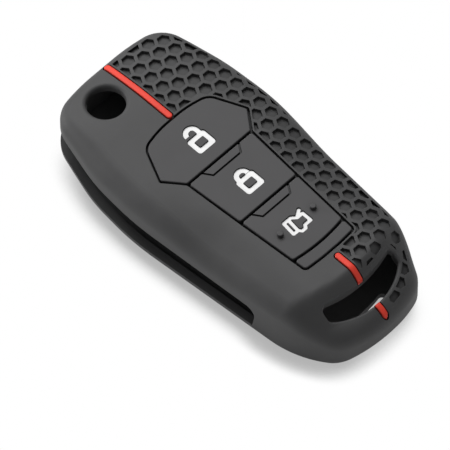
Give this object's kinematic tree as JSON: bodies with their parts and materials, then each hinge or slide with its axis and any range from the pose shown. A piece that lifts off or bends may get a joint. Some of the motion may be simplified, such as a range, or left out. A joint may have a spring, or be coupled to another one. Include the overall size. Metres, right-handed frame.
{
  "type": "key fob cover",
  "caption": "Soft silicone sleeve that fits over a folding car key, with press pads over the key's buttons, a honeycomb grip, a red line and a slot for the key ring.",
  "frame": {"origin": "middle of the flat back, on the surface that the cover lies on", "axes": "+Z out of the front face with the press pads, +Y along the length to the end where the key's blade folds out, +X to the side with the honeycomb"},
  "size_m": [0.0412, 0.0856, 0.0184],
  "materials": {
    "black_silicone": "matte",
    "red_silicone": "satin",
    "white_silicone": "matte"
  },
  "bodies": {
    "sleeve": {"sleeve": "black_silicone", "honeycomb_grip": "black_silicone", "hinge_web": "black_silicone", "tail_panel": "black_silicone", "red_line_upper": "red_silicone", "red_line_lower": "red_silicone", "red_line_tip": "red_silicone"},
    "unlock_button": {"unlock_pad": "black_silicone", "unlock_icon": "white_silicone"},
    "lock_button": {"lock_pad": "black_silicone", "lock_icon": "white_silicone"},
    "boot_button": {"boot_pad": "black_silicone", "boot_icon": "white_silicone"}
  },
  "joints": [
    {"name": "unlock_press", "type": "slide", "parent": "sleeve", "child": "unlock_button", "axis": [0, 0, -1], "range_m": [0, 0.0008], "stiffness_N_per_m": 1500, "deforming": ["hinge_web"]},
    {"name": "lock_press", "type": "slide", "parent": "sleeve", "child": "lock_button", "axis": [0, 0, -1], "range_m": [0, 0.0008], "stiffness_N_per_m": 1500, "deforming": ["hinge_web"]},
    {"name": "boot_press", "type": "slide", "parent": "sleeve", "child": "boot_button", "axis": [0, 0, -1], "range_m": [0, 0.0008], "stiffness_N_per_m": 1500, "deforming": ["hinge_web"]}
  ]
}
